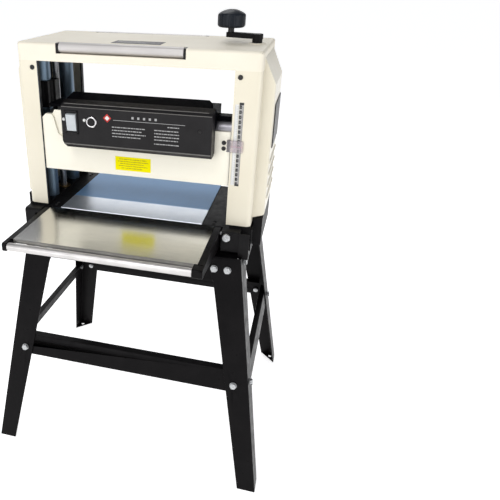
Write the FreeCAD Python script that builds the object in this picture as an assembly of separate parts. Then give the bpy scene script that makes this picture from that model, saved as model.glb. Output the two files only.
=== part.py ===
import FreeCAD, Part
import math
import os

# Bench thickness planer on its pressed-steel leg stand.
# Frame: millimetres, +Z up, +X to the operator's right, boards enter at -Y and leave at +Y.
# Origin: on the floor under the middle of the stand.

V = FreeCAD.Vector
os.makedirs("parts", exist_ok=True)

# ---------------------------------------------------------------- driving dimensions
# stand
STAND_H = 554.0
LEG_TOP = (248.0, 166.0)
LEG_FOOT = (332.0, 267.0)
LEG_KNEE_Z = 490.0
LEG_W_TOP, LEG_W_KNEE, LEG_W_FOOT = 78.0, 63.0, 42.0
LEG_T = 3.0
FOOT_HOLE = (318.0, 252.0)
FOOT_HOLE_R = 5.0
BRACE_T = 2.5

# machine body
BODY_X = 258.0
BODY_Y = 123.0
FOOT_H = 2.0
BASE_Z = STAND_H + FOOT_H
COVER_Z = 612.0
BED_TOP = 608.0
BED_T = 2.0
BASE_TOP = BED_TOP - BED_T
BEAM_Z = 936.0
TOP_Z = 973.0
WALL = 3.0
OPEN_LEFT, OPEN_RIGHT = -213.5, 205.5
COLUMN_D = 27.0
CORNER_R = 10.0
SIDE_X = 282.0
SIDE_Y = 88.0
FRAME_Z, FRAME_T = 956.0, 10.0

# feed line: bed, tables and cutterhead are centred on this X
FEED_X = -10.0
BED_X0, BED_X1 = -180.0, 153.0

# guides and screws
POST = (232.0, 62.0)
POST_R = 17.0
SCREW_X = 230.0
SCREW_R = 8.0
RUN = 0.05

# carriage, drawn with an 86 mm gap over the bed; it travels 80 down and 66 up
CUT_GAP = 86.0
CUT_R = 25.0
CUT_Z = BED_TOP + CUT_GAP + CUT_R
ROLLER_Y = 62.0
ROLLER_R = 19.0
ROLLER_Z = BED_TOP + CUT_GAP - 1.0 + ROLLER_R
BAR_Y = -119.0
BAR_Z = 699.0
DECK_Z = 765.0
CARRIAGE_X0, CARRIAGE_X1 = OPEN_LEFT + 1.5, OPEN_RIGHT - 1.5
INNER_L, INNER_R = FEED_X - 169.0, FEED_X + 169.0
MOTOR_Y, MOTOR_Z, MOTOR_R = -90.0, 812.0, 41.0
NOSE_R, NOSE_X = 18.0, 203.0
BELT_X0, BELT_X1 = -202.0, -191.0
BOX_X0, BOX_X1 = -152.0, 171.0
BOX_FRONT = -150.0
LID_EDGE_Z, LID_BAR_Z, LID_REAR_Z = 855.5, 860.0, 853.0
RIDGE_Y, RIDGE_Z = -80.0, 867.5

# folding tables
TABLE_W = 386.0
TABLE_IN, TABLE_OUT = 130.0, 307.0
PIVOT_Y, PIVOT_Z = 139.0, 598.0
PLATE_X = 207.0
END_Y, END_Z, END_R = 320.0, 596.0, 8.5

# crank
CRANK_ARM = (-58.0, 17.0)
HUB_R = 10.5
KNOB_R = 29.0


# ---------------------------------------------------------------- helpers
def box(x0, y0, z0, x1, y1, z1):
    return Part.makeBox(x1 - x0, y1 - y0, z1 - z0, V(x0, y0, z0))


def rod(start, direction, radius, length):
    return Part.makeCylinder(radius, length, V(*start), V(*direction))


def tube(start, direction, outer, inner, length):
    return rod(start, direction, outer, length).cut(rod(start, direction, inner, length))


def fuse(first, *others):
    return first.multiFuse(list(others)).removeSplitter()


def prism_x(points, x0, x1):
    """Closed (y, z) outline pushed from x0 to x1."""
    ring = [V(x0, y, z) for y, z in points]
    return Part.Face(Part.makePolygon(ring + ring[:1])).extrude(V(x1 - x0, 0, 0))


def prism_y(points, y0, y1):
    """Closed (x, z) outline pushed from y0 to y1."""
    ring = [V(x, y0, z) for x, z in points]
    return Part.Face(Part.makePolygon(ring + ring[:1])).extrude(V(0, y1 - y0, 0))


def mirror_x(shape):
    return shape.mirror(V(0, 0, 0), V(1, 0, 0))


def mirror_y(shape):
    return shape.mirror(V(0, 0, 0), V(0, 1, 0))


def round_edges(shape, radius, wanted):
    edges = [e for e in shape.Edges if wanted(e)]
    return shape.makeFillet(radius, edges)


def middle(edge):
    return edge.valueAt((edge.FirstParameter + edge.LastParameter) / 2)


def upright(edge, x, y):
    """True for a vertical edge over (x, y)."""
    m = middle(edge)
    flat = edge.BoundBox.XLength + edge.BoundBox.YLength
    return flat < 0.01 and abs(m.x - x) < 0.1 and abs(m.y - y) < 0.1


def save(name, *solids):
    shape = solids[0] if len(solids) == 1 else Part.makeCompound(list(solids))
    if not shape.isValid():
        raise ValueError(name + " is not a valid shape")
    shape.exportStep("parts/" + name + ".step")


# ---------------------------------------------------------------- stand
def leg_corner(z):
    """Outer corner of a leg at height z, in the +X +Y quarter."""
    drop = (STAND_H - z) / STAND_H
    return (LEG_TOP[0] + drop * (LEG_FOOT[0] - LEG_TOP[0]),
            LEG_TOP[1] + drop * (LEG_FOOT[1] - LEG_TOP[1]))


def leg_ring(z, width):
    x, y = leg_corner(z)
    inner_x, inner_y = x - LEG_T, y - LEG_T
    points = [(x, y), (x - width, y), (x - width, inner_y),
              (inner_x, inner_y), (inner_x, y - width), (x, y - width)]
    ring = [V(px, py, z) for px, py in points]
    return Part.makePolygon(ring + ring[:1])


def make_leg():
    angle = Part.makeLoft([leg_ring(0, LEG_W_FOOT), leg_ring(LEG_KNEE_Z, LEG_W_KNEE),
                           leg_ring(STAND_H, LEG_W_TOP)], True, True)
    x, y = LEG_FOOT
    corner = [V(x - 1, y - 1, 0), V(x - LEG_W_FOOT, y - 1, 0), V(x - 1, y - LEG_W_FOOT, 0)]
    plate = Part.Face(Part.makePolygon(corner + corner[:1])).extrude(V(0, 0, LEG_T))
    leg = fuse(angle, plate)
    return leg.cut(rod((FOOT_HOLE[0], FOOT_HOLE[1], -1), (0, 0, 1), FOOT_HOLE_R, LEG_T + 2))


def lean(axis):
    """Outward normal of a leg's face: axis 0 for the side face, 1 for the front or rear face."""
    slope = (LEG_FOOT[axis] - LEG_TOP[axis]) / STAND_H
    length = math.hypot(1, slope)
    level, rise = 1 / length, slope / length
    return V(level, 0, rise) if axis == 0 else V(0, level, rise)


def folded_rail(axis, z0, z1, flange, thick):
    """(level, z) outline of a rail that lies inside a leg's face and folds inwards at its top."""
    def out(z):
        return leg_corner(z)[axis] - LEG_T
    return [(out(z0), z0), (out(z1), z1), (out(z1) - flange, z1), (out(z1) - flange, z1 - thick),
            (out(z1 - thick) - thick, z1 - thick), (out(z0) - thick, z0)]


BRACE_Z = (243.0, 295.0)
SIDE_BRACE_Z = (240.0, 284.0)
BRACE_HALF, SIDE_BRACE_HALF = 267.0, 205.0
RAIL_Z = (498.0, STAND_H)
RAIL_FLANGE = 76.0
STAND_BOLT_R, STAND_HEAD_R = 4.0, 8.0


def stand_bolt_places():
    """(point on a leg's outer face, outward normal) for one quarter of the stand."""
    places = []
    for x, z in ((193.0, 527.0), (222.0, 527.0), (258.0, 262.0)):
        places.append((V(x, leg_corner(z)[1], z), lean(1)))
    for y, z in ((130.0, 532.0), (196.0, 262.0)):
        places.append((V(leg_corner(z)[0], y, z), lean(0)))
    return places


def stand_bolt(point, normal):
    """Hex head and washer outside, nut inside."""
    grip = LEG_T + 3.5
    washer = Part.makeCylinder(STAND_HEAD_R, 1.5, point, normal)
    head_base = point + normal * 1.5
    head = Part.makeCylinder(6.5, 5.0, head_base, normal)
    flats = Part.makeCylinder(7.5, 5.0, head_base, normal)
    side = V(0, 0, 1).cross(normal).normalize()
    hexagon = []
    for k in range(6):
        turn = FreeCAD.Rotation(normal, 60 * k)
        hexagon.append(head_base + turn.multVec(side) * 7.2)
    prism = Part.Face(Part.makePolygon(hexagon + hexagon[:1])).extrude(normal * 5.0)
    head = prism.common(flats)
    shank = Part.makeCylinder(STAND_BOLT_R, grip + 6.0, point - normal * (grip + 6.0), normal)
    nut = Part.makeCylinder(6.5, 5.0, point - normal * (grip + 5.0), normal)
    return fuse(shank, washer, head, nut)


def make_stand():
    holes = [Part.makeCylinder(STAND_BOLT_R + 0.3, 20.0, p - n * 12.0, n)
             for p, n in stand_bolt_places()]
    leg = make_leg()
    for hole in holes:
        leg = leg.cut(hole)
    bolts = [stand_bolt(p, n) for p, n in stand_bolt_places()]
    bolts.append(fuse(rod((FOOT_X, FOOT_Y, STAND_H - LEG_T), (0, 0, 1), 4.0, 28.0),
                      rod((FOOT_X, FOOT_Y, STAND_H - LEG_T - 6), (0, 0, 1), 7.5, 6.0)))
    every = [bolts, [mirror_x(b) for b in bolts]]
    every += [[mirror_y(b) for b in side] for side in every]
    save("stand_rear_legs", leg, mirror_x(leg))
    save("stand_front_legs", mirror_y(leg), mirror_x(mirror_y(leg)))
    save("stand_bolts", *[b for side in every for b in side])

    all_holes = holes + [mirror_x(h) for h in holes]
    brace = prism_x(folded_rail(1, BRACE_Z[0], BRACE_Z[1], 18.0, BRACE_T), -BRACE_HALF, BRACE_HALF)
    rail = prism_x(folded_rail(1, RAIL_Z[0], RAIL_Z[1], RAIL_FLANGE, LEG_T), -240.0, 240.0)
    side_brace = prism_y(folded_rail(0, SIDE_BRACE_Z[0], SIDE_BRACE_Z[1], 14.0, BRACE_T),
                         -SIDE_BRACE_HALF, SIDE_BRACE_HALF)
    side_rail = prism_y(folded_rail(0, RAIL_Z[0], RAIL_Z[1], RAIL_FLANGE, LEG_T), -86.0, 86.0)
    for hole in all_holes:
        brace = brace.cut(hole)
        rail = rail.cut(hole)
    for hole in holes + [mirror_y(h) for h in holes]:
        side_brace = side_brace.cut(hole)
    for x in (-FOOT_X, FOOT_X):
        rail = rail.cut(rod((x, FOOT_Y, STAND_H - 10), (0, 0, 1), 4.3, 20))
    save("stand_stretchers", brace, mirror_y(brace), side_brace, mirror_x(side_brace))
    save("stand_top_rails", rail, mirror_y(rail), side_rail, mirror_x(side_rail))


# ---------------------------------------------------------------- base
FOOT_X, FOOT_Y = 225.0, 103.0
LUG_IN, LUG_OUT = 211.0, 250.0
LUG_Y = 150.0
HINGE_BOLT_X, HINGE_BOLT_Z = 222.0, 594.0


def both_hinges(shape):
    """A piece on the feed line's right, at the front: repeated left, and at the rear."""
    pair = [shape, shape.mirror(V(FEED_X, 0, 0), V(1, 0, 0))]
    return pair + [mirror_y(s) for s in pair]


def make_base():
    floor_z = BASE_TOP - 10.0
    body = box(-262, -BODY_Y, BASE_Z, 262, BODY_Y, BASE_TOP)
    wing = box(WING_IN, -SIDE_Y, BASE_Z, WING_OUT, SIDE_Y, WING_TOP)
    pad = box(213.5, -BODY_Y, BASE_TOP - 1, 258, BODY_Y, COVER_Z)
    lug = prism_x([(-BODY_Y, BASE_Z), (-LUG_Y + 6, BASE_Z), (-LUG_Y, BASE_Z + 6), (-LUG_Y, 603),
                   (-LUG_Y + 4, 607), (-BODY_Y, 607)], FEED_X + LUG_IN, FEED_X + LUG_OUT)
    base = fuse(body, wing, mirror_x(wing), pad, mirror_x(pad), *both_hinges(lug))
    base = base.cut(box(-252, -113, BASE_Z - 1, 252, 113, floor_z))
    side_hollow = box(262, -SIDE_Y + 6, BASE_Z - 1, WING_OUT - 6, SIDE_Y - 6, WING_TOP - 6)
    base = base.cut(side_hollow).cut(mirror_x(side_hollow))
    for x in (-SCREW_X, SCREW_X):
        base = base.cut(rod((x, 0, BASE_Z), (0, 0, 1), 14.0, 80))
        base = base.cut(rod((x, 0, BASE_Z - 1), (0, 0, 1), SPROCKET_R + 6.5, floor_z - BASE_Z + 1))
        for y in (-FOOT_Y, FOOT_Y):
            pillar_x = math.copysign(FOOT_X, x)
            pillar = box(pillar_x - 15, y - 15, BASE_Z, pillar_x + 15, y + 15, floor_z + 1)
            base = base.fuse(pillar)
            base = base.cut(rod((pillar_x, y, BASE_Z - 1), (0, 0, 1), 4.3, 26))
    for pin in both_hinges(rod((FEED_X + LUG_IN - 1, -PIVOT_Y, PIVOT_Z), (1, 0, 0), 4.2, 8)):
        base = base.cut(pin)
    for hole in both_hinges(rod((FEED_X + HINGE_BOLT_X, -LUG_Y - 1, HINGE_BOLT_Z), (0, 1, 0), 4.2, 22)):
        base = base.cut(hole)
    for hole in bed_screw_places():
        base = base.cut(rod((hole[0], hole[1], BASE_TOP - 9), (0, 0, 1), 2.2, 10))
    save("base_casting", base.removeSplitter())


WING_IN, WING_OUT, WING_TOP = 258.0, 280.0, 620.0


def bed_screw_places():
    """Screws in the black margin beside the bed plate."""
    return [(FEED_X + s * 188.0, y) for s in (-1, 1) for y in (-112.0, -100.0, 100.0, 112.0)]


def make_bed():
    bed = box(BED_X0, -125, BASE_TOP, BED_X1, 125, BED_TOP)
    save("bed_plate", bed.makeFillet(1.0, [e for e in bed.Edges if abs(middle(e).z - BED_TOP) < 0.01
                                           and e.BoundBox.XLength > 100]))
    feet = []
    for x in (-FOOT_X, FOOT_X):
        for y in (-FOOT_Y, FOOT_Y):
            foot = Part.makeCone(14.0, 12.5, FOOT_H, V(x, y, STAND_H), V(0, 0, 1))
            feet.append(foot.cut(rod((x, y, STAND_H - 1), (0, 0, 1), 4.3, FOOT_H + 2)))
    save("machine_feet", *feet)


# ---------------------------------------------------------------- frame inside the housing
UPRIGHT_D = 9.0


def make_frame():
    posts = []
    for x in (-POST[0], POST[0]):
        for y in (-POST[1], POST[1]):
            posts.append(rod((x, y, COVER_Z), (0, 0, 1), POST_R, FRAME_Z - COVER_Z))
    save("guide_posts", *posts)

    frame = box(-250, -90, FRAME_Z, 250, 90, FRAME_Z + FRAME_T)
    frame = frame.cut(box(-200, -64, FRAME_Z - 1, 200, 64, FRAME_Z + FRAME_T + 1))
    for x in (-SCREW_X, SCREW_X):
        frame = frame.cut(rod((x, 0, FRAME_Z - 1), (0, 0, 1), 14.0, FRAME_T + 2))
    uprights = []
    for x0, x1 in ((OPEN_LEFT - WALL, OPEN_LEFT), (OPEN_RIGHT, OPEN_RIGHT + WALL)):
        upright_bar = box(x0, -BODY_Y + WALL, COVER_Z, x1, -BODY_Y + WALL + UPRIGHT_D, FRAME_Z - 10)
        uprights += [upright_bar, mirror_y(upright_bar)]
    save("inner_frame", frame, *uprights)

    bearings = []
    for x in (-SCREW_X, SCREW_X):
        low = tube((x, 0, BASE_TOP - 10), (0, 0, 1), 14.0, SCREW_R + RUN, COVER_Z - BASE_TOP + 10)
        collar = tube((x, 0, COVER_Z), (0, 0, 1), 17.0, SCREW_R + RUN, 2.0)
        high = tube((x, 0, FRAME_Z), (0, 0, 1), 14.0, SCREW_R + RUN, FRAME_T)
        bearings += [fuse(low, collar), high]
    save("screw_bearings", *bearings)


# ---------------------------------------------------------------- housing
SLOT_X0, SLOT_X1, SLOT_Z0, SLOT_Z1 = 218.0, 227.0, 702.0, 876.0


def column(inner_x, outer_x):
    """Front column: a front wall and an outer side wall with a rounded corner between them."""
    side = math.copysign(1, outer_x)
    outer = box(min(inner_x, outer_x), -BODY_Y, COVER_Z, max(inner_x, outer_x), -BODY_Y + COLUMN_D, BEAM_Z)
    outer = round_edges(outer, CORNER_R, lambda e: upright(e, outer_x, -BODY_Y))
    near, far = inner_x - side * 10, outer_x - side * WALL
    return outer.cut(box(min(near, far), -BODY_Y + WALL, COVER_Z - 1, max(near, far), 0, BEAM_Z + 1))


def screw_places():
    """Round-headed screws on the front of the columns."""
    return [(-224.0, 922.0), (216.5, 924.0)]


def make_columns():
    left = column(OPEN_LEFT, -BODY_X)
    right = column(OPEN_RIGHT, BODY_X)
    for x, z in screw_places():
        hole = rod((x, -BODY_Y - 1, z), (0, 1, 0), 2.2, 8)
        left = left.cut(hole)
        right = right.cut(hole)
    save("rear_columns", mirror_y(left), mirror_y(right))
    slot = box(SLOT_X0, -BODY_Y - 1, SLOT_Z0, SLOT_X1, -BODY_Y + WALL + 1, SLOT_Z1)
    save("front_columns", left, right.cut(slot))


TOP_ROLLER_X0, TOP_ROLLER_X1 = -162.0, 102.0
TOP_ROLLER_R = 10.5
TOP_ROLLER_Y, TOP_ROLLER_Z = 111.0, 963.5
TOP_AXLE_R = 4.0
RECESS_DEPTH, RECESS_FLOOR = 24.0, 952.0


def make_top():
    shell = box(-BODY_X, -BODY_Y, BEAM_Z, BODY_X, BODY_Y, TOP_Z)
    shell = round_edges(shell, CORNER_R, lambda e: e.BoundBox.ZLength > 30)
    shell = round_edges(shell, 6.0, lambda e: abs(middle(e).z - TOP_Z) < 0.01)
    shell = shell.cut(box(-BODY_X + WALL, -BODY_Y + WALL, BEAM_Z - 1,
                          BODY_X - WALL, BODY_Y - WALL, TOP_Z - WALL))
    tray_x0, tray_x1 = TOP_ROLLER_X0 - 6, TOP_ROLLER_X1 + 6
    tray = box(tray_x0 - WALL, -BODY_Y + 0.5, RECESS_FLOOR - WALL,
               tray_x1 + WALL, -BODY_Y + RECESS_DEPTH + WALL, TOP_Z - 1)
    hollow = box(tray_x0, -BODY_Y - 5, RECESS_FLOOR, tray_x1, -BODY_Y + RECESS_DEPTH, TOP_Z + 5)
    shell = fuse(shell, tray, mirror_y(tray)).cut(hollow).cut(mirror_y(hollow))
    shell = fuse(shell, rod((SCREW_X, 0, TOP_Z - 1), (0, 0, 1), 17.0, 2.5))
    shell = shell.cut(rod((SCREW_X, 0, TOP_Z - 10), (0, 0, 1), SCREW_R + 1.0, 20))
    save("top_cover", shell)

    brackets = []
    for x0 in (tray_x0, TOP_ROLLER_X1 + 0.5):
        block = box(x0, -BODY_Y + 2, RECESS_FLOOR, x0 + 5.5, -BODY_Y + RECESS_DEPTH, TOP_Z - 0.5)
        bore = rod((x0 - 1, -TOP_ROLLER_Y, TOP_ROLLER_Z), (1, 0, 0), TOP_AXLE_R + RUN, 8)
        block = block.cut(bore)
        brackets += [block, mirror_y(block)]
    save("top_roller_brackets", *brackets)

    length = TOP_ROLLER_X1 - TOP_ROLLER_X0
    roller = rod((TOP_ROLLER_X0, -TOP_ROLLER_Y, TOP_ROLLER_Z), (1, 0, 0), TOP_ROLLER_R, length)
    axle = rod((TOP_ROLLER_X0 - 5, -TOP_ROLLER_Y, TOP_ROLLER_Z), (1, 0, 0), TOP_AXLE_R, length + 10)
    roller = fuse(roller, axle)
    save("top_roller_front", roller)
    save("top_roller_rear", mirror_y(roller))


INSERT_Y0, INSERT_Y1, INSERT_Z0, INSERT_Z1 = -50.0, 76.0, 768.0, 862.0
RIB_Z = (740.0, 713.0, 686.0, 659.0)


def pillow(inset):
    """Raised side panel: a flat outer face with a long slope at the top and short slopes elsewhere."""
    def ring(x, half_y, z0, z1):
        points = [V(x, -half_y, z0), V(x, half_y, z0), V(x, half_y, z1), V(x, -half_y, z1)]
        return Part.makePolygon(points + points[:1])
    near = ring(BODY_X, SIDE_Y - inset, 621.0 + inset, 958.0 - inset)
    far = ring(SIDE_X - inset, SIDE_Y - 7 - inset, 626.0 + inset, 906.0 - inset)
    return Part.makeLoft([near, far], True, True)


def make_sides():
    """Right cover in place, left one mirrored."""
    outer = pillow(0.0)
    far_edges = [e for e in outer.Edges if abs(middle(e).x - SIDE_X) < 0.1]
    outer = outer.makeFillet(5.0, far_edges)
    wall = box(BODY_X - WALL, -COLUMN_BACK, COVER_Z, BODY_X, COLUMN_BACK, BEAM_Z)
    cover = fuse(outer, wall)
    for z in RIB_Z:
        bar = rod((SIDE_X - 2.5, -62, z), (0, 1, 0), 5.0, 134)
        cover = cover.fuse(round_edges(bar, 3.0, lambda e: True))
    cover = cover.cut(pillow(WALL)).cut(box(250, -82, 624, BODY_X + 0.1, 82, BEAM_Z - 6))
    pocket = box(SIDE_X - 8, INSERT_Y0, INSERT_Z0, SIDE_X + 5, INSERT_Y1, INSERT_Z1)
    cover = cover.cut(pocket).removeSplitter()
    save("side_cover_right", cover)
    save("side_cover_left", mirror_x(cover))
    insert = box(SIDE_X - 5, INSERT_Y0 + 0.2, INSERT_Z0 + 0.2, SIDE_X + 2, INSERT_Y1 - 0.2, INSERT_Z1 - 0.2)
    insert = round_edges(insert, 1.5, lambda e: abs(middle(e).x - SIDE_X - 2) < 0.01)
    save("side_inserts", insert, mirror_x(insert))


COLUMN_BACK = BODY_Y - COLUMN_D


def dome_screw(place, direction, head_r, length):
    """Round-headed screw: head outside the surface at place, shank running in."""
    point, out = V(*place), V(*direction)
    head = Part.makeCylinder(head_r, 2.5, point, out)
    rim = [e for e in head.Edges if abs((middle(e) - point).dot(out) - 2.5) < 0.01]
    head = head.makeFillet(1.5, rim)
    socket = Part.makeCylinder(head_r * 0.45, 1.5, point + out * 1.2, out)
    shank = Part.makeCylinder(2.0, length, point - out * length, out)
    return fuse(head.cut(socket), shank)


def make_screws():
    screws = []
    for x, z in screw_places():
        front = dome_screw((x, -BODY_Y, z), (0, -1, 0), 5.0, 6.0)
        screws += [front, mirror_y(front)]
    for x, y in bed_screw_places():
        screws.append(dome_screw((x, y, BASE_TOP), (0, 0, 1), 3.5, 6.0))
    save("machine_screws", *screws)


# ---------------------------------------------------------------- lead screws, chain and crank
SPROCKET_R, SPROCKET_Z, SPROCKET_T = 24.0, 576.0, 5.0
CHAIN_T = 4.0


def make_sprocket(x):
    wheel = rod((x, 0, SPROCKET_Z), (0, 0, 1), SPROCKET_R, SPROCKET_T)
    hub = rod((x, 0, SPROCKET_Z - 4), (0, 0, 1), 14.0, SPROCKET_T + 8)
    teeth = []
    count = 18
    for k in range(count):
        a = 2 * math.pi * k / count
        notch = (x + SPROCKET_R * math.cos(a), SPROCKET_R * math.sin(a), SPROCKET_Z - 1)
        teeth.append(rod(notch, (0, 0, 1), 2.6, SPROCKET_T + 2))
    wheel = wheel.cut(Part.makeCompound(teeth))
    return fuse(wheel, hub).cut(rod((x, 0, SPROCKET_Z - 5), (0, 0, 1), SCREW_R, SPROCKET_T + 12))


def loop(y0, z0, r0, y1, z1, r1, thick, x0, x1):
    """Closed band round two wheels that turn about X."""
    def outline(extra):
        a, b = r0 + extra, r1 + extra
        gap = math.hypot(y1 - y0, z1 - z0)
        along = V(0, y1 - y0, z1 - z0).normalize()
        across = V(0, -along.z, along.y)
        tilt = (a - b) / gap
        ends = []
        for s in (1, -1):
            n = along * tilt + across * (s * math.sqrt(1 - tilt * tilt))
            ends.append((V(x0, y0, z0) + n * a, V(x0, y1, z1) + n * b))
        far0, far1 = V(x0, y0, z0) - along * a, V(x0, y1, z1) + along * b
        edges = [Part.LineSegment(ends[0][0], ends[0][1]).toShape(),
                 Part.Arc(ends[0][1], far1, ends[1][1]).toShape(),
                 Part.LineSegment(ends[1][1], ends[1][0]).toShape(),
                 Part.Arc(ends[1][0], far0, ends[0][0]).toShape()]
        return Part.Face(Part.Wire(edges)).extrude(V(x1 - x0, 0, 0))
    return outline(thick).cut(outline(0.0))


def stadium(radius, z, height):
    """Flat-sided slab with round ends, about both lead screws."""
    slab = box(-SCREW_X, -radius, z, SCREW_X, radius, z + height)
    return fuse(slab, *[rod((x, 0, z), (0, 0, 1), radius, height) for x in (-SCREW_X, SCREW_X)])


def make_screws_and_crank():
    top = TOP_Z + 16.0
    right = rod((SCREW_X, 0, SPROCKET_Z - 6), (0, 0, 1), SCREW_R, top - SPROCKET_Z + 6)
    left = rod((-SCREW_X, 0, SPROCKET_Z - 6), (0, 0, 1), SCREW_R, FRAME_Z + FRAME_T - SPROCKET_Z + 6)
    save("lead_screw_right", right)
    save("lead_screw_left", left)
    save("sprocket_right", make_sprocket(SCREW_X))
    save("sprocket_left", make_sprocket(-SCREW_X))

    reach = SPROCKET_R + 0.4
    outer = stadium(reach + CHAIN_T, SPROCKET_Z + 0.5, CHAIN_T)
    save("sync_chain", outer.cut(stadium(reach, SPROCKET_Z, CHAIN_T + 2)))

    hub_z, arm_z, arm_t = TOP_Z + 2.0, TOP_Z + 9.5, 10.0
    length = math.hypot(*CRANK_ARM)
    arm = box(0, -9, arm_z, length, 9, arm_z + arm_t)
    hub_end = rod((0, 0, arm_z), (0, 0, 1), HUB_R + 1, arm_t)
    arm = fuse(arm, hub_end, rod((length, 0, arm_z), (0, 0, 1), 10.0, arm_t))
    arm = arm.makeFillet(1.5, [e for e in arm.Edges if abs(middle(e).z - arm_z - arm_t) < 0.01])
    arm = fuse(arm, rod((0, 0, hub_z), (0, 0, 1), HUB_R, arm_z - hub_z))
    arm = arm.cut(rod((0, 0, hub_z - 1), (0, 0, 1), SCREW_R, top - hub_z + 1))
    arm = arm.cut(rod((length, 0, arm_z - 1), (0, 0, 1), 4.0, arm_t + 2))
    arm.rotate(V(0, 0, 0), V(0, 0, 1), math.degrees(math.atan2(CRANK_ARM[1], CRANK_ARM[0])))
    arm.translate(V(SCREW_X, 0, 0))
    save("crank_arm", arm)

    knob_x, knob_y = SCREW_X + CRANK_ARM[0], CRANK_ARM[1]
    arm_top = arm_z + arm_t
    bolt = fuse(rod((knob_x, knob_y, arm_z), (0, 0, 1), 4.0, KNOB_Z + 28 - arm_z),
                rod((knob_x, knob_y, arm_top), (0, 0, 1), 6.5, KNOB_Z - 0.4 - arm_top),
                rod((knob_x, knob_y, KNOB_Z + 26.0), (0, 0, 1), 7.0, 4.0))
    save("crank_knob_bolt", bolt)
    save("crank_knob", make_knob(knob_x, knob_y))


KNOB_Z, KNOB_H, KNOB_DOME_R = 1002.0, 36.0, 47.0
KNOB_FLUTES = 16


def make_knob(x, y):
    """Mushroom grip with shallow flutes, turning on its bolt."""
    z = KNOB_Z
    knob = rod((0, 0, z), (0, 0, 1), KNOB_R, KNOB_H)
    knob = knob.common(Part.makeSphere(KNOB_DOME_R, V(0, 0, z + KNOB_H - KNOB_DOME_R)))
    shoulder = z + KNOB_H - KNOB_DOME_R + math.sqrt(KNOB_DOME_R ** 2 - KNOB_R ** 2)
    knob = round_edges(knob, 7.0, lambda e: abs(middle(e).z - shoulder) < 0.01)
    knob = round_edges(knob, 6.0, lambda e: abs(middle(e).z - z) < 0.01)
    flutes = []
    for k in range(KNOB_FLUTES):
        a = 2 * math.pi * k / KNOB_FLUTES
        flutes.append(rod(((KNOB_R + 3.6) * math.cos(a), (KNOB_R + 3.6) * math.sin(a), z - 1),
                          (0, 0, 1), 4.5, KNOB_H + 2))
    knob = knob.cut(Part.makeCompound(flutes))
    knob = knob.cut(rod((0, 0, z - 1), (0, 0, 1), 4.0 + RUN, KNOB_H - 3))
    knob = knob.cut(rod((0, 0, z + 25.7), (0, 0, 1), 7.0 + 0.3, 4.8))
    knob.translate(V(x, y, 0))
    return knob


# ---------------------------------------------------------------- folding tables
def make_table():
    """Front table; the rear one is its mirror image."""
    half = TABLE_W / 2
    x0, x1 = FEED_X - half, FEED_X + half
    sheet = prism_x([(-TABLE_IN, BED_TOP), (-TABLE_OUT, BED_TOP), (-TABLE_OUT, BED_TOP - 9),
                     (-TABLE_OUT + 2, BED_TOP - 9), (-TABLE_OUT + 2, BED_TOP - 2), (-TABLE_IN, BED_TOP - 2)],
                    x0, x1)
    save("infeed_table", sheet)
    save("outfeed_table", mirror_y(sheet))

    web = [(-TABLE_IN, BED_TOP - 1), (-END_Y - 10, BED_TOP - 1), (-END_Y - 10, END_Z - END_R + 1),
           (-END_Y + 20, END_Z - END_R), (-TABLE_IN - 42, BED_TOP - 40), (-TABLE_IN - 6, BED_TOP - 40),
           (-TABLE_IN, BED_TOP - 30)]
    plates = []
    for side, end in ((-1, 8.0), (1, 21.0)):
        outer = FEED_X + side * PLATE_X
        inner = outer - side * WALL
        plate = prism_x(web, min(outer, inner), max(outer, inner))
        beside, under = FEED_X + side * (half + 0.3), FEED_X + side * (half - 8)
        lip_z = BED_TOP - 5
        high_lip = box(min(outer, beside), -END_Y + 14, lip_z, max(outer, beside), -TABLE_IN, BED_TOP - 1)
        low_lip = box(min(outer, under), -END_Y + 16, lip_z, max(outer, under), -TABLE_IN, BED_TOP - 2)
        lip = fuse(high_lip, low_lip)
        block_in = outer - side * end
        block = box(min(outer, block_in), -END_Y - 10, END_Z - END_R + 1,
                    max(outer, block_in), -END_Y + 12, BED_TOP - 1)
        block = round_edges(block, 4.0, lambda e: abs(middle(e).y + END_Y + 10) < 0.01
                            and e.BoundBox.XLength > 1)
        plate = plate.common(box(-400, -END_Y - 6, 0, 400, 0, 2000))
        plate = fuse(plate, lip, block)
        plate = plate.cut(rod((outer - side * 40, -PIVOT_Y, PIVOT_Z), (side, 0, 0), 4.0 + RUN, 60))
        axle_bore = rod((FEED_X, -END_Y, END_Z), (side, 0, 0), 3.0 + RUN, PLATE_X - 2.0)
        plates.append(plate.cut(axle_bore))
    save("infeed_side_plates", *plates)
    save("outfeed_side_plates", *[mirror_y(p) for p in plates])

    roll_x0, roll_x1 = FEED_X - PLATE_X + 8.8, FEED_X + PLATE_X - 21.8
    roll = rod((roll_x0, -END_Y, END_Z), (1, 0, 0), END_R, roll_x1 - roll_x0)
    axle = rod((roll_x0 - 5, -END_Y, END_Z), (1, 0, 0), 3.0, roll_x1 - roll_x0 + 16)
    roll = fuse(roll, axle)
    save("infeed_end_roller", roll)
    save("outfeed_end_roller", mirror_y(roll))

    pin_x0, pin_x1 = FEED_X + PLATE_X - 8, FEED_X + LUG_IN + 6
    pin = rod((pin_x0, -PIVOT_Y, PIVOT_Z), (1, 0, 0), 4.0, pin_x1 - pin_x0)
    pin = fuse(pin, rod((pin_x0 - 2, -PIVOT_Y, PIVOT_Z), (1, 0, 0), 4.8, 2.0))
    place = (FEED_X + HINGE_BOLT_X, -LUG_Y, HINGE_BOLT_Z)
    head = rod(place, (0, -1, 0), 9.0, 4.5)
    head = head.makeFillet(1.5, [e for e in head.Edges if abs(middle(e).y + LUG_Y + 4.5) < 0.01])
    bolt = fuse(head, rod(place, (0, 1, 0), 4.0, 20.0))
    save("table_hinge_bolts", bolt, mirror_y(bolt), *both_hinges(pin))


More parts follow.
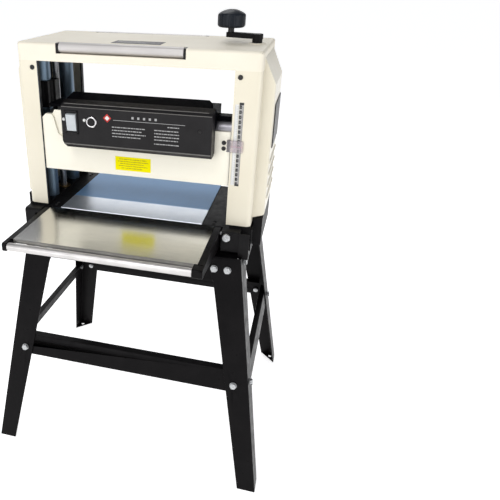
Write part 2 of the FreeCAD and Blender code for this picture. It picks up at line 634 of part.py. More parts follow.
# ---------------------------------------------------------------- carriage
UPPER_BOSS_Z = (828.0, 886.0)
BOSS_R, BUSH_R = 22.5, 19.5
PAWL_Y, PAWL_Z = -100.0, 738.0
FEED_AXLE_R, CUT_AXLE_R = 8.0, 10.0
CHEEK_Z0 = 702.0
LEFT_EAR_Z, RIGHT_EAR_Z = 824.0, 814.0


def make_cheek(sign, plate_x0, plate_x1, inner_x0, inner_x1):
    """Cast cheek: an outer plate with the post bosses and the screw nut, and an inner bearing plate."""
    outer = box(plate_x0, -COLUMN_BACK + 3, CHEEK_Z0, plate_x1, COLUMN_BACK - 3, DECK_Z)
    mast = box(plate_x0, -POST[1] + 10, DECK_Z - 1, plate_x1, -POST[1] + 26, UPPER_BOSS_Z[1])
    inner = box(inner_x0, -108, CHEEK_Z0, inner_x1, COLUMN_BACK - 3, DECK_Z)
    low_x, high_x = min(plate_x0, inner_x0), max(plate_x1, inner_x1)
    rear_web = box(low_x, COLUMN_BACK - 8, CHEEK_Z0, high_x, COLUMN_BACK - 3, DECK_Z)
    front_web = box(low_x, -COLUMN_BACK + 3, CHEEK_Z0, high_x, -COLUMN_BACK + 8, DECK_Z)
    cheek = fuse(outer, mast, inner, rear_web, front_web)
    post_x = sign * POST[0]
    edge_x = plate_x0 if sign < 0 else plate_x1
    for y, z0, z1 in ((-POST[1], CHEEK_Z0, DECK_Z), (POST[1], CHEEK_Z0, DECK_Z),
                      (-POST[1],) + UPPER_BOSS_Z):
        reach = box(min(post_x, edge_x), y - 20, z0, max(post_x, edge_x), y + 20, z1)
        cheek = fuse(cheek, reach, rod((post_x, y, z0), (0, 0, 1), BOSS_R, z1 - z0))
    upper_arm = box(min(plate_x0, post_x), -POST[1] + 4, UPPER_BOSS_Z[0],
                    max(plate_x1, post_x), -POST[1] + 26, UPPER_BOSS_Z[1])
    nut_x = sign * SCREW_X
    nut_block = box(min(nut_x, edge_x), -20, CHEEK_Z0, max(nut_x, edge_x), 20, CHEEK_Z0 + 40)
    nut_round = rod((nut_x, 0, CHEEK_Z0), (0, 0, 1), 20.0, 40.0)
    cheek = fuse(cheek, upper_arm, nut_block, nut_round)
    for y in (-POST[1], POST[1]):
        cheek = cheek.cut(rod((post_x, y, CHEEK_Z0 - 1), (0, 0, 1), BUSH_R, 200))
    cheek = cheek.cut(rod((nut_x, 0, CHEEK_Z0 - 1), (0, 0, 1), 14.0, 42))
    across = 60.0
    for y, z, r in ((0, CUT_Z, 17.5), (-ROLLER_Y, ROLLER_Z, 12.0), (ROLLER_Y, ROLLER_Z, 12.0),
                    (PAWL_Y, PAWL_Z, 4.0)):
        cheek = cheek.cut(rod((inner_x0 - 1 if sign < 0 else inner_x1 + 1, y, z), (-sign, 0, 0), r,
                              min(across, inner_x1 - inner_x0 + 2)))
    return cheek.removeSplitter()


def make_carriage_frame():
    save("carriage_cheek_left", make_cheek(-1, CARRIAGE_X0, CARRIAGE_X0 + 6, INNER_L - 8, INNER_L))
    save("carriage_cheek_right", make_cheek(1, CARRIAGE_X1 - 6, CARRIAGE_X1, INNER_R, INNER_R + 8))
    deck = box(INNER_L - 8, -108, DECK_Z, INNER_R + 8, COLUMN_BACK - 3, DECK_Z + 4)
    save("carriage_top_plate", deck)

    bushes = []
    for sign in (-1, 1):
        x = sign * POST[0]
        for y, z0, z1 in ((-POST[1], CHEEK_Z0, DECK_Z), (POST[1], CHEEK_Z0, DECK_Z),
                          (-POST[1],) + UPPER_BOSS_Z):
            bushes.append(tube((x, y, z0), (0, 0, 1), BUSH_R, POST_R + RUN, z1 - z0))
        bushes.append(tube((sign * SCREW_X, 0, CHEEK_Z0), (0, 0, 1), 14.0, SCREW_R + RUN, 40.0))
    save("carriage_bushings", *bushes)

    bearings = []
    for x in (INNER_L - 8, INNER_R):
        bearings.append(tube((x, 0, CUT_Z), (1, 0, 0), 17.5, CUT_AXLE_R + RUN, 8.0))
        for y in (-ROLLER_Y, ROLLER_Y):
            bearings.append(tube((x, y, ROLLER_Z), (1, 0, 0), 12.0, FEED_AXLE_R + RUN, 8.0))
    save("carriage_bearings", *bearings)


def make_front_bar():
    """Cream front of the carriage: a rail with an ear at each end."""
    x0, x1 = CARRIAGE_X0, CARRIAGE_X1
    ear_l, ear_r = BOX_X0 - 4.0, BOX_X1 + 1.0
    outline = [(x0, BAR_Z), (x1, BAR_Z), (x1, RIGHT_EAR_Z), (ear_r, RIGHT_EAR_Z), (ear_r, DECK_Z),
               (ear_l, DECK_Z), (ear_l - 21, LEFT_EAR_Z - 42), (ear_l - 30, LEFT_EAR_Z - 6),
               (ear_l - 34, LEFT_EAR_Z), (x0 + 8, LEFT_EAR_Z), (x0, LEFT_EAR_Z - 8)]
    bar = prism_y(outline, BAR_Y, BAR_Y + 4)
    bottom = box(x0, BAR_Y, BAR_Z, x1, BAR_Y + 9, BAR_Z + 3)
    ear_top_l = box(x0 + 8, BAR_Y, LEFT_EAR_Z - 3, ear_l - 34, BAR_Y + 10, LEFT_EAR_Z)
    web = prism_y([(ear_l - 36, DECK_Z - 6), (ear_l + 3, DECK_Z - 6), (ear_l + 3, LEFT_EAR_Z + 9),
                   (ear_l - 28, LEFT_EAR_Z + 9), (ear_l - 36, LEFT_EAR_Z - 4)], BAR_Y + 4, BAR_Y + 7)
    ear_top_r = box(ear_r, BAR_Y, RIGHT_EAR_Z - 3, x1, BAR_Y + 10, RIGHT_EAR_Z)
    bar = fuse(bar, bottom, ear_top_l, ear_top_r, web)
    for x, z in carriage_screw_places():
        bar = bar.cut(rod((x, BAR_Y - 1, z), (0, 1, 0), 2.2, 8))
    save("carriage_front_bar", bar)

    screws = [dome_screw((x, BAR_Y, z), (0, -1, 0), 4.5, 6.0) for x, z in carriage_screw_places()]
    screws += [dome_screw((x, BOX_FRONT, z), (0, -1, 0), 3.0, 6.0) for x, z in fascia_screw_places()]
    save("carriage_screws", *screws)

    pointer = fuse(box(198, -BODY_Y - 3.5, 775, 231, -BODY_Y - 1.0, 799),
                   box(198, -BODY_Y - 1.5, 775, CARRIAGE_X1 - 0.2, BAR_Y, 799))
    pointer = round_edges(pointer, 2.0, lambda e: e.BoundBox.YLength > 2 and middle(e).x > 220)
    save("scale_pointer", pointer)


def carriage_screw_places():
    return [(191.0, 791.5), (191.0, 779.5)]


def fascia_screw_places():
    return [(-146.0, 823.5), (-99.5, 824.5), (146.5, 818.5)]


ROCKER = (-129.0, 818.0)
ROCKER_W, ROCKER_H = 22.0, 36.0
BUTTON = (-84.0, 821.5)
BUTTON_R = 7.5


HOOD_REAR, HOOD_TURN = -45.0, -103.0
LID_X1, RIDGE_X1 = 163.0, 151.0
CAP_X0, CAP_X1, CAP_REAR, CAP_TOP = 148.0, 172.0, -58.0, 858.0
BLOCK_DEEP = 98.0


def motor_hood(inset, z0):
    """Lid that rises to a ridge and falls behind it, and the end cap; inset gives their inner side."""
    x0, x1, ridge_x1 = BOX_X0 + inset, LID_X1 - inset, RIDGE_X1 - inset
    front, rear = BAR_Y - inset, HOOD_REAR - inset
    plan = [(x0, front), (x1, front), (x1, HOOD_TURN), (ridge_x1, RIDGE_Y), (ridge_x1, rear), (x0, rear)]
    ring = [V(x, y, z0) for x, y in plan]
    walls = Part.Face(Part.makePolygon(ring + ring[:1])).extrude(V(0, 0, RIDGE_Z - z0))
    roof = [(front, z0), (front, LID_BAR_Z - inset), (RIDGE_Y, RIDGE_Z - inset),
            (rear, LID_REAR_Z - inset), (rear, z0)]
    hood = walls.common(prism_x(roof, x0, x1))
    cap = box(CAP_X0 - inset, front, z0, CAP_X1 - inset, CAP_REAR - inset, CAP_TOP - inset)
    return fuse(hood, cap)


def make_control_box():
    """Black switch box over the motor: a hooded fascia in front and the motor cover behind it."""
    def hood(inset):
        front, rear = BOX_FRONT + inset, BAR_Y + inset * 2
        return [(front, 770.0), (front, 850.0), (front + 7, LID_EDGE_Z - inset), (rear, LID_BAR_Z - inset),
                (rear, 762.0 + inset), (front + 7, 762.0 + inset)]
    fascia = prism_x(hood(0.0), BOX_X0, BOX_X1).cut(prism_x(hood(WALL), BOX_X0 + WALL, BOX_X1 - WALL))
    clip = [(BOX_X0, 871.0), (BOX_X0, 777.0), (BOX_X0 + 8, 760.0), (BOX_X1, 760.0), (BOX_X1, 871.0)]
    fascia = fascia.common(prism_y(clip, -200, 0))
    fascia = fascia.cut(box(ROCKER[0] - 12.5, BOX_FRONT - 1, ROCKER[1] - 20, ROCKER[0] + 12.5,
                            BOX_FRONT + WALL + 1, ROCKER[1] + 20))
    fascia = fascia.cut(rod((BUTTON[0], BOX_FRONT - 1, BUTTON[1]), (0, 1, 0), BUTTON_R + 0.3, 6))
    for x, z in fascia_screw_places():
        fascia = fascia.cut(rod((x, BOX_FRONT - 1, z), (0, 1, 0), 2.2, 8))
    save("control_fascia", fascia)

    cover = motor_hood(0.0, 818.0).cut(motor_hood(WALL, 810.0))
    guard = box(-196, -113, 840, BOX_X0 + 1, -60, 846)
    block = box(CAP_X1 - 1, -BLOCK_DEEP, 831.5, NOSE_X, -72, 841)
    cover = fuse(cover, guard, block)
    cover = cover.cut(rod((MOTOR_X1, MOTOR_Y, MOTOR_Z), (1, 0, 0), NOSE_R + 1, 80))
    cover = cover.cut(rod((100, HOOD_REAR - WALL - 1, 838), (0, 1, 0), 7.0, 6))
    save("motor_cover", cover)

    gland = fuse(rod((100, HOOD_REAR - WALL - 2, 838), (0, 1, 0), 7.0, WALL + 2),
                 Part.makeCone(10.0, 6.0, 16.0, V(100, HOOD_REAR, 838), V(0, 1, 0)))
    save("power_gland", gland.cut(rod((100, HOOD_REAR - 8, 838), (0, 1, 0), 4.0, 30)))

    rocker = box(ROCKER[0] - ROCKER_W / 2, BOX_FRONT - 5, ROCKER[1] - ROCKER_H / 2,
                 ROCKER[0] + ROCKER_W / 2, BOX_FRONT + 7, ROCKER[1] + ROCKER_H / 2)
    rocker = round_edges(rocker, 2.0, lambda e: abs(middle(e).y - BOX_FRONT + 5) < 0.01)
    rocker.rotate(V(ROCKER[0], BOX_FRONT + 3, ROCKER[1]), V(1, 0, 0), 7)
    pivot = rod((ROCKER[0] - 12.2, BOX_FRONT + 3, ROCKER[1]), (1, 0, 0), 1.5, 24.4)
    save("rocker_switch", fuse(rocker, pivot))
    button = rod((BUTTON[0], BOX_FRONT - 5, BUTTON[1]), (0, 1, 0), BUTTON_R, 15)
    save("reset_button", button.makeFillet(1.5, [e for e in button.Edges
                                                 if abs(middle(e).y - BOX_FRONT + 5) < 0.01]))


# ---------------------------------------------------------------- motor and belt
MOTOR_X0, MOTOR_X1 = -120.0, 146.0
PULLEY_M, PULLEY_C = 14.0, 20.0


def make_motor():
    body = rod((MOTOR_X0, MOTOR_Y, MOTOR_Z), (1, 0, 0), MOTOR_R, MOTOR_X1 - MOTOR_X0)
    body = fuse(body, rod((MOTOR_X1, MOTOR_Y, MOTOR_Z), (1, 0, 0), NOSE_R, NOSE_X - MOTOR_X1))
    for x in (MOTOR_X0 + 30, MOTOR_X1 - 60):
        body = fuse(body, box(x, MOTOR_Y - 14, DECK_Z + 4, x + 30, MOTOR_Y + 14, MOTOR_Z - 30))
    body = body.cut(rod((MOTOR_X0 + 5, MOTOR_Y, MOTOR_Z), (1, 0, 0), 36.0, MOTOR_X1 - MOTOR_X0 - 10))
    body = body.cut(rod((MOTOR_X0 - 1, MOTOR_Y, MOTOR_Z), (1, 0, 0), 6.0 + RUN, 309))
    save("motor_body", body)

    shaft = rod((BELT_X0 - 1, MOTOR_Y, MOTOR_Z), (1, 0, 0), 6.0, 388.0)
    armature = rod((MOTOR_X0 + 30, MOTOR_Y, MOTOR_Z), (1, 0, 0), 28.0, 170.0)
    commutator = rod((MOTOR_X0 + 12, MOTOR_Y, MOTOR_Z), (1, 0, 0), 18.0, 14.0)
    fan = rod((MOTOR_X1 - 40, MOTOR_Y, MOTOR_Z), (1, 0, 0), 33.0, 12.0)
    pulley = rod((BELT_X0 - 1, MOTOR_Y, MOTOR_Z), (1, 0, 0), PULLEY_M, 13.0)
    save("motor_rotor", fuse(shaft, armature, commutator, fan, pulley))
    belt = loop(MOTOR_Y, MOTOR_Z, PULLEY_M + 0.3, 0.0, CUT_Z, PULLEY_C + 0.3, 2.5, BELT_X0, BELT_X1)
    save("drive_belt", belt)


# ---------------------------------------------------------------- cutterhead and feed
KNIVES = 2


def make_cutterhead():
    x0, x1 = INNER_L + 3, INNER_R - 3
    body_r = CUT_R - 3
    head = rod((x0, 0, CUT_Z), (1, 0, 0), body_r, x1 - x0)
    knives = []
    for k in range(KNIVES):
        turn = 360.0 / KNIVES * k
        slot = box(x0 - 1, -1.5, CUT_Z + 10, x1 + 1, 9, CUT_Z + CUT_R + 5)
        gib = box(x0, 2.0, CUT_Z + 10.5, x1, 8.5, CUT_Z + 18)
        knife = box(x0, -1.5, CUT_Z + 10.5, x1, 1.5, CUT_Z + CUT_R - 0.1)
        for shape in (slot, gib, knife):
            shape.rotate(V(0, 0, CUT_Z), V(1, 0, 0), turn + 30)
        head = head.cut(slot)
        knives += [knife, gib]
    axle = rod((BELT_X0 - 1, 0, CUT_Z), (1, 0, 0), CUT_AXLE_R, INNER_R + 8 - BELT_X0 + 1)
    tip = rod((INNER_R + 8, 0, CUT_Z), (1, 0, 0), 6.0, 24.0)
    pulley = rod((BELT_X0 - 1, 0, CUT_Z), (1, 0, 0), PULLEY_C, 13.0)
    save("cutterhead", fuse(head, axle, tip, pulley))
    save("cutter_knives", *knives)


def make_feed():
    x0, x1 = INNER_L + 2, INNER_R - 2
    for name, y in (("infeed_roller", -ROLLER_Y), ("outfeed_roller", ROLLER_Y)):
        roll = rod((x0, y, ROLLER_Z), (1, 0, 0), ROLLER_R, x1 - x0)
        axle = rod((INNER_L - 9, y, ROLLER_Z), (1, 0, 0), FEED_AXLE_R, INNER_R - INNER_L + 32)
        sprocket = rod((INNER_R + 16, y, ROLLER_Z), (1, 0, 0), 14.0, 4.0)
        save(name, fuse(roll, axle, sprocket))
    chain = loop(-ROLLER_Y, ROLLER_Z, 14.3, ROLLER_Y, ROLLER_Z, 14.3, 3.0, INNER_R + 16.3, INNER_R + 19.7)
    case = box(INNER_R + 22, -38, 704, CARRIAGE_X1 - 7, 38, 758)
    case = case.cut(rod((INNER_R, 0, CUT_Z), (1, 0, 0), 6.4, 60))
    save("feed_gearbox", case, chain)

    rod_len = INNER_R - INNER_L + 14
    save("pawl_rod", rod((INNER_L - 7, PAWL_Y, PAWL_Z), (1, 0, 0), 4.0, rod_len))
    count, pitch, width = 28, 11.8, 9.0
    pawls = []
    for k in range(count):
        x = FEED_X + (k - (count - 1) / 2) * pitch - width / 2
        tooth = prism_x([(PAWL_Y - 5, PAWL_Z), (PAWL_Y + 5, PAWL_Z), (PAWL_Y + 3, PAWL_Z - 44),
                         (PAWL_Y - 3, PAWL_Z - 44)], x, x + width)
        hub = rod((x, PAWL_Y, PAWL_Z), (1, 0, 0), 7.0, width)
        pawls.append(fuse(tooth, hub).cut(rod((x - 1, PAWL_Y, PAWL_Z), (1, 0, 0), 4.0 + RUN, width + 2)))
    save("anti_kickback_pawls", *pawls)

    path = [(30, 740), (86, 760), (114, 750), (118, 714)]
    below = [(115.5, 714), (111.8, 748), (86, 757.3), (31, 737.6)]
    save("chip_deflector", prism_x(path + below, INNER_L + 0.5, INNER_R - 0.5))


make_stand()
make_base()
make_bed()
make_frame()
make_columns()
make_top()
make_sides()
make_screws()
make_screws_and_crank()
make_table()
make_carriage_frame()
make_front_bar()
make_control_box()
make_motor()
make_cutterhead()
make_feed()
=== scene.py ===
import math

import bmesh
import bpy
from mathutils import Matrix, Vector


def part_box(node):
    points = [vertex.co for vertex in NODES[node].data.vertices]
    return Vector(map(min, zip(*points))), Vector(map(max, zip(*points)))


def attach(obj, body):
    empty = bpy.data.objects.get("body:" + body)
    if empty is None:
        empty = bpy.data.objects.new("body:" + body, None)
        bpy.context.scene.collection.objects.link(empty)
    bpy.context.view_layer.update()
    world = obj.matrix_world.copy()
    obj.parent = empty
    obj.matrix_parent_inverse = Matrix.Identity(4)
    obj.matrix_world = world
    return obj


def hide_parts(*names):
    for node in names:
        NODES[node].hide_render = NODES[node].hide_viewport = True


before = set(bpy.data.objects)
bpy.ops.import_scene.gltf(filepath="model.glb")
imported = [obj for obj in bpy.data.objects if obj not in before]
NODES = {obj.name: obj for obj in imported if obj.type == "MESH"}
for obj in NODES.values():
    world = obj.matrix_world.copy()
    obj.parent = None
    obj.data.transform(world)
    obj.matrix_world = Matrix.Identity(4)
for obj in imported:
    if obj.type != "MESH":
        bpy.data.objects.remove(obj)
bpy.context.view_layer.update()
scene = bpy.context.scene
MM = 0.001


# ---------------------------------------------------------------- camera, floor and light
def make_camera():
    data = bpy.data.cameras.new("camera")
    cam = bpy.data.objects.new("camera", data)
    scene.collection.objects.link(cam)
    data.sensor_width = 36.0
    data.lens = 39.85
    data.shift_x = 0.1796
    data.shift_y = -0.0486
    data.clip_start, data.clip_end = 0.05, 150.0
    right = Vector((0.9632829, 0.26841354, 0.00634274))
    up = Vector((-0.11855723, 0.40404493, 0.90702364))
    ahead = Vector((-0.24089467, 0.87447234, -0.42103194))
    turn = Matrix((right, up, -ahead)).transposed()
    cam.matrix_world = Matrix.Translation((0.35745, -1.20756, 1.11212)) @ turn.to_4x4()
    scene.camera = cam


def area_light(name, place, target, size, power):
    data = bpy.data.lights.new(name, "AREA")
    data.shape = "RECTANGLE"
    data.size, data.size_y = size
    data.energy = power
    lamp = bpy.data.objects.new(name, data)
    scene.collection.objects.link(lamp)
    lamp.location = place
    lamp.rotation_euler = (Vector(target) - Vector(place)).to_track_quat("-Z", "Y").to_euler()


def make_studio():
    world = bpy.data.worlds.new("studio")
    scene.world = world
    world.use_nodes = True
    back = world.node_tree.nodes["Background"]
    back.inputs[0].default_value = (0.94, 0.96, 1.0, 1.0)
    back.inputs[1].default_value = 0.26
    area_light("key", (-0.5, -1.8, 3.2), (0, 0, 0.8), (1.0, 0.8), 24)
    area_light("front", (-0.9, -2.8, 1.5), (0, 0, 0.7), (2.0, 1.8), 27)
    area_light("fill", (2.6, -1.2, 1.2), (0, 0, 0.6), (1.6, 2.0), 17)
    area_light("rear", (-0.6, 1.6, 3.2), (0, 0, 0.7), (1.4, 1.2), 20)
    area_light("card", (-0.9, 3.2, 2.0), (-0.1, 0, 0.6), (3.4, 1.3), 19)
    scene.view_settings.view_transform = "Standard"

    mesh = bpy.data.meshes.new("floor")
    size = 45.0
    corners = [(-size, -size, 0), (size, -size, 0), (size, size, 0), (-size, size, 0)]
    mesh.from_pydata(corners, [], [(0, 1, 2, 3)])
    floor = bpy.data.objects.new("floor", mesh)
    scene.collection.objects.link(floor)
    floor.location.z = -0.0005
    mat = bpy.data.materials.new("floor_paint")
    mat.use_nodes = True
    shader = mat.node_tree.nodes["Principled BSDF"]
    shader.inputs["Base Color"].default_value = (0.88, 0.88, 0.88, 1)
    shader.inputs["Roughness"].default_value = 0.9
    shader.inputs["Specular IOR Level"].default_value = 0.1
    shader.inputs["Emission Color"].default_value = (1.0, 1.0, 1.0, 1)
    shader.inputs["Emission Strength"].default_value = 0.78
    mesh.materials.append(mat)


# ---------------------------------------------------------------- material building
class Shade:
    """A principled material on object coordinates, in metres."""

    def __init__(self, name, **constants):
        self.mat = bpy.data.materials.new(name)
        self.mat.use_nodes = True
        self.tree = self.mat.node_tree
        self.shader = self.tree.nodes["Principled BSDF"]
        self.coord = self.tree.nodes.new("ShaderNodeTexCoord").outputs["Object"]
        for key, value in constants.items():
            self.shader.inputs[key.replace("_", " ")].default_value = value

    def link(self, a, b):
        self.tree.links.new(a, b)

    def stretched(self, scale):
        node = self.tree.nodes.new("ShaderNodeMapping")
        node.inputs["Scale"].default_value = scale
        self.link(self.coord, node.inputs["Vector"])
        return node.outputs["Vector"]

    def noise(self, scale, detail=3.0, rough=0.5, at=None):
        node = self.tree.nodes.new("ShaderNodeTexNoise")
        node.inputs["Scale"].default_value = scale
        node.inputs["Detail"].default_value = detail
        node.inputs["Roughness"].default_value = rough
        self.link(at if at else self.coord, node.inputs["Vector"])
        return node.outputs["Fac"]

    def cells(self, scale):
        node = self.tree.nodes.new("ShaderNodeTexVoronoi")
        node.inputs["Scale"].default_value = scale
        self.link(self.coord, node.inputs["Vector"])
        return node.outputs["Distance"]

    def grey(self, fac, low, high, start=0.3, end=0.7):
        """Grey that runs from low to high while fac runs from start to end."""
        node = self.tree.nodes.new("ShaderNodeValToRGB")
        for item, place, tone in zip(node.color_ramp.elements, (start, end), (low, high)):
            item.position = place
            item.color = (tone, tone, tone, 1.0)
        self.link(fac, node.inputs["Fac"])
        return node.outputs["Color"]

    def mix(self, fac, one, two, mode="MIX"):
        node = self.tree.nodes.new("ShaderNodeMix")
        node.data_type = "RGBA"
        node.blend_type = mode
        for value, socket in ((fac, node.inputs[0]), (one, node.inputs[6]), (two, node.inputs[7])):
            if isinstance(value, (int, float)):
                socket.default_value = value
            elif isinstance(value, tuple):
                socket.default_value = (*value, 1.0)
            else:
                self.link(value, socket)
        return node.outputs[2]

    def maths(self, operation, one, two):
        node = self.tree.nodes.new("ShaderNodeMath")
        node.operation = operation
        for value, socket in ((one, node.inputs[0]), (two, node.inputs[1])):
            if isinstance(value, float):
                socket.default_value = value
            else:
                self.link(value, socket)
        return node.outputs[0]

    def axes(self, vector):
        """The x, y and z of a vector, as three outputs."""
        node = self.tree.nodes.new("ShaderNodeSeparateXYZ")
        self.link(vector, node.inputs[0])
        return node.outputs

    def rise(self, value, start, end):
        """0 below start, 1 above end, straight between them."""
        node = self.tree.nodes.new("ShaderNodeMapRange")
        node.inputs["From Min"].default_value = start
        node.inputs["From Max"].default_value = end
        self.link(value, node.inputs["Value"])
        return node.outputs["Result"]

    def colour(self, value):
        self.link(value, self.shader.inputs["Base Color"])

    def rough(self, value):
        self.link(value, self.shader.inputs["Roughness"])

    def bump(self, height, strength, distance):
        node = self.tree.nodes.new("ShaderNodeBump")
        node.inputs["Strength"].default_value = strength
        node.inputs["Distance"].default_value = distance
        self.link(height, node.inputs["Height"])
        old = self.shader.inputs["Normal"].links
        if old:
            self.link(old[0].from_socket, node.inputs["Normal"])
        self.link(node.outputs["Normal"], self.shader.inputs["Normal"])


def enamel_shade(name, light, dark, rough, peel, coat):
    """Baked paint: soft mottling, orange peel, a few dust specks."""
    s = Shade(name, Coat_Weight=coat, Coat_Roughness=0.12)
    base = s.mix(s.grey(s.noise(9.0, 4.0), 0.0, 1.0), light, dark)
    speck = s.grey(s.noise(700.0, 2.0), 0.0, 1.0, 0.70, 0.78)
    s.colour(s.mix(speck, base, tuple(0.72 * c for c in light)))
    s.rough(s.grey(s.noise(34.0, 5.0, 0.6), rough - 0.05, rough + 0.08))
    s.bump(s.noise(520.0, 2.0), peel, 0.0004)
    return s


def enamel(*settings):
    return enamel_shade(*settings).mat


def pressed_black(name):
    """Black enamel on folded sheet, with dust that lies in broad patches and small rubbed spots."""
    s = Shade(name, Specular_IOR_Level=0.08)
    dust = s.grey(s.noise(14.0, 6.0, 0.65), 0.0, 0.5, 0.45, 0.8)
    base = s.mix(dust, (0.0035, 0.003, 0.0035), (0.0105, 0.009, 0.0095))
    rub = s.grey(s.noise(160.0, 5.0, 0.7), 0.0, 1.0, 0.72, 0.76)
    s.colour(s.mix(rub, base, (0.05, 0.047, 0.045)))
    s.rough(s.grey(s.noise(60.0, 5.0, 0.6), 0.26, 0.46))
    s.bump(s.noise(640.0, 2.0), 0.12, 0.0004)
    return s.mat


def cast_paint(name, light, dark, grain, rough, spec):
    """Painted casting: sandy skin under the paint."""
    s = Shade(name, Specular_IOR_Level=spec)
    s.colour(s.mix(s.grey(s.noise(22.0, 6.0, 0.7), 0.0, 1.0), light, dark))
    s.rough(s.grey(s.noise(90.0, 4.0), rough - 0.08, rough + 0.1))
    s.bump(s.noise(grain, 6.0, 0.75), 0.35, 0.0007)
    s.bump(s.cells(grain * 1.6), 0.15, 0.0004)
    return s.mat


def brushed(name, light, dark, along, rough, lines=2200.0, metal=1.0, scratches=0.12, bow=None):
    """Ground steel: fine lines along one axis, a soft cloud and long scratches.

    bow tilts the shading of a flat sheet along Y, as a sheet that isn't quite flat would show it.
    """
    s = Shade(name, Metallic=metal, Anisotropic=0.35)
    scale = [lines] * 3
    scale[along] = 14.0
    fine = s.noise(1.0, 3.0, 0.6, at=s.stretched(scale))
    long_marks = [v * 0.22 for v in scale]
    long_marks[along] = 3.0
    marks = s.noise(1.0, 6.0, 0.8, at=s.stretched(long_marks))
    cloud = s.mix(s.grey(s.noise(7.0, 5.0, 0.6), 0.0, 1.0), light, dark)
    lined = s.mix(s.grey(fine, 0.0, 0.22), cloud, dark)
    s.colour(s.mix(s.grey(marks, 0.0, scratches, 0.62, 0.7), lined, tuple(0.5 * c for c in dark)))
    s.rough(s.grey(fine, rough - 0.06, rough + 0.1, 0.2, 0.8))
    s.bump(fine, 0.10, 0.0002)
    s.bump(marks, 0.06, 0.0003)
    if bow:
        reach = s.maths("ABSOLUTE", s.axes(s.coord)["Y"], 0.0)
        rise = s.maths("MULTIPLY", reach, bow[0])
        fall = s.maths("MULTIPLY", s.maths("MULTIPLY", reach, reach), bow[1])
        s.bump(s.maths("SUBTRACT", fall, rise), 1.0, 1.0)
    return s.mat


def oiled_bed(name, lit_tone, shaded_tone, edge_y):
    """Stainless bed sheet: a painted lit strip along its infeed edge, and a painted blue shadow of the
    carriage further in, darker deeper in.
    """
    s = Shade(name, Specular_IOR_Level=0.12)
    along = s.axes(s.coord)["Y"]
    fine = s.noise(1.0, 3.0, 0.6, at=s.stretched([2000.0, 14.0, 2000.0]))
    # Painted shadow of the carriage from the edge inwards, darker further in; the painted lit strip in front
    # of it is more metallic.
    shadow_mask = s.rise(along, edge_y - 0.002, edge_y + 0.004)
    depth = s.rise(along, edge_y, edge_y + 0.11)
    lit_metal = s.maths("MULTIPLY", s.maths("SUBTRACT", 1.0, shadow_mask), 0.75)
    s.link(s.maths("ADD", lit_metal, 0.1), s.shader.inputs["Metallic"])
    shadow_tone = s.mix(depth, tuple(1.25 * c for c in shaded_tone), shaded_tone)
    tone = s.mix(shadow_mask, lit_tone, shadow_tone)
    cloud = s.mix(s.grey(s.noise(9.0, 5.0, 0.6), 0.0, 0.25), tone, tuple(0.6 * c for c in shaded_tone))
    s.colour(s.mix(s.grey(fine, 0.0, 0.18), cloud, tuple(0.7 * c for c in lit_tone)))
    s.rough(s.grey(fine, 0.26, 0.40, 0.2, 0.8))
    s.bump(fine, 0.08, 0.0002)
    return s.mat


def polished(name, tint, rough):
    """Chrome: nearly clean, with faint wipe marks and pits."""
    s = Shade(name, Metallic=1.0)
    s.colour(s.mix(s.grey(s.noise(28.0, 5.0), 0.0, 1.0), tint, tuple(0.82 * c for c in tint)))
    s.rough(s.grey(s.noise(60.0, 6.0, 0.7), rough, rough + 0.12, 0.35, 0.75))
    s.bump(s.noise(240.0, 3.0), 0.02, 0.0002)
    return s.mat


def plated(name, tint):
    """Zinc plate: fine crystal tone and dull handling marks."""
    s = Shade(name, Metallic=0.9)
    grain = s.cells(420.0)
    s.colour(s.mix(s.grey(grain, 0.0, 1.0, 0.1, 0.7), tint, tuple(0.66 * c for c in tint)))
    s.rough(s.grey(s.noise(180.0, 4.0, 0.6), 0.24, 0.46))
    s.bump(s.noise(800.0, 3.0), 0.12, 0.0002)
    return s.mat


def moulded(name, light, dark, grain, rough, spec=0.18):
    """Moulded plastic with a spark-eroded skin."""
    s = Shade(name, Specular_IOR_Level=spec)
    s.colour(s.mix(s.grey(s.noise(30.0, 5.0, 0.6), 0.0, 1.0), light, dark))
    s.rough(s.grey(s.noise(120.0, 4.0), rough - 0.06, rough + 0.08))
    s.bump(s.cells(grain), 0.25, 0.0002)
    s.bump(s.noise(grain * 0.6, 4.0, 0.7), 0.12, 0.0003)
    return s.mat


def rubbery(name, light, dark, grain):
    """Rubber: matt, with a fine worn grain."""
    s = Shade(name, Specular_IOR_Level=0.3)
    s.colour(s.mix(s.grey(s.noise(45.0, 6.0, 0.7), 0.0, 1.0), light, dark))
    s.rough(s.grey(s.noise(200.0, 4.0), 0.62, 0.88))
    s.bump(s.noise(grain, 5.0, 0.7), 0.3, 0.0003)
    return s.mat


def printed(name, colour, shade, rough=0.42, spec=0.3):
    """Printed foil or ink on a surface: a slightly uneven film."""
    s = Shade(name, Specular_IOR_Level=spec)
    s.colour(s.mix(s.grey(s.noise(60.0, 4.0), 0.0, 1.0), colour, shade))
    s.rough(s.grey(s.noise(140.0, 4.0), rough - 0.05, rough + 0.1))
    s.bump(s.noise(420.0, 2.0), 0.05, 0.0002)
    return s.mat


def lined_enamel(name, light, dark, rough, peel, coat, inside):
    """Housing paint outside; inside the shell, on faces turned towards the middle, a dark blue: partly the
    dark parts inside, partly painted shade inside the open shell and a painted blue reflection.
    """
    s = enamel_shade(name, light, dark, rough, peel, coat)
    outer = s.shader.inputs["Base Color"].links[0].from_socket
    normal = s.tree.nodes.new("ShaderNodeNewGeometry").outputs["Normal"]
    side = s.maths("SIGN", s.axes(s.coord)["X"], 0.0)
    outwards = s.maths("MULTIPLY", s.axes(normal)["X"], side)
    # Faces turned towards the middle take the dark blue: painted shade and a painted blue reflection inside
    # the shell.
    s.colour(s.mix(s.maths("LESS_THAN", outwards, -0.35), outer, inside))
    return s.mat


CREAM_TONES = ((0.80, 0.745, 0.61), (0.765, 0.71, 0.565))
# Dark blue for inward faces of the housing: partly dark inner parts, partly painted shade and a painted blue
# reflection.
INNER_DARK_AND_SHADE = (0.060, 0.084, 0.112)

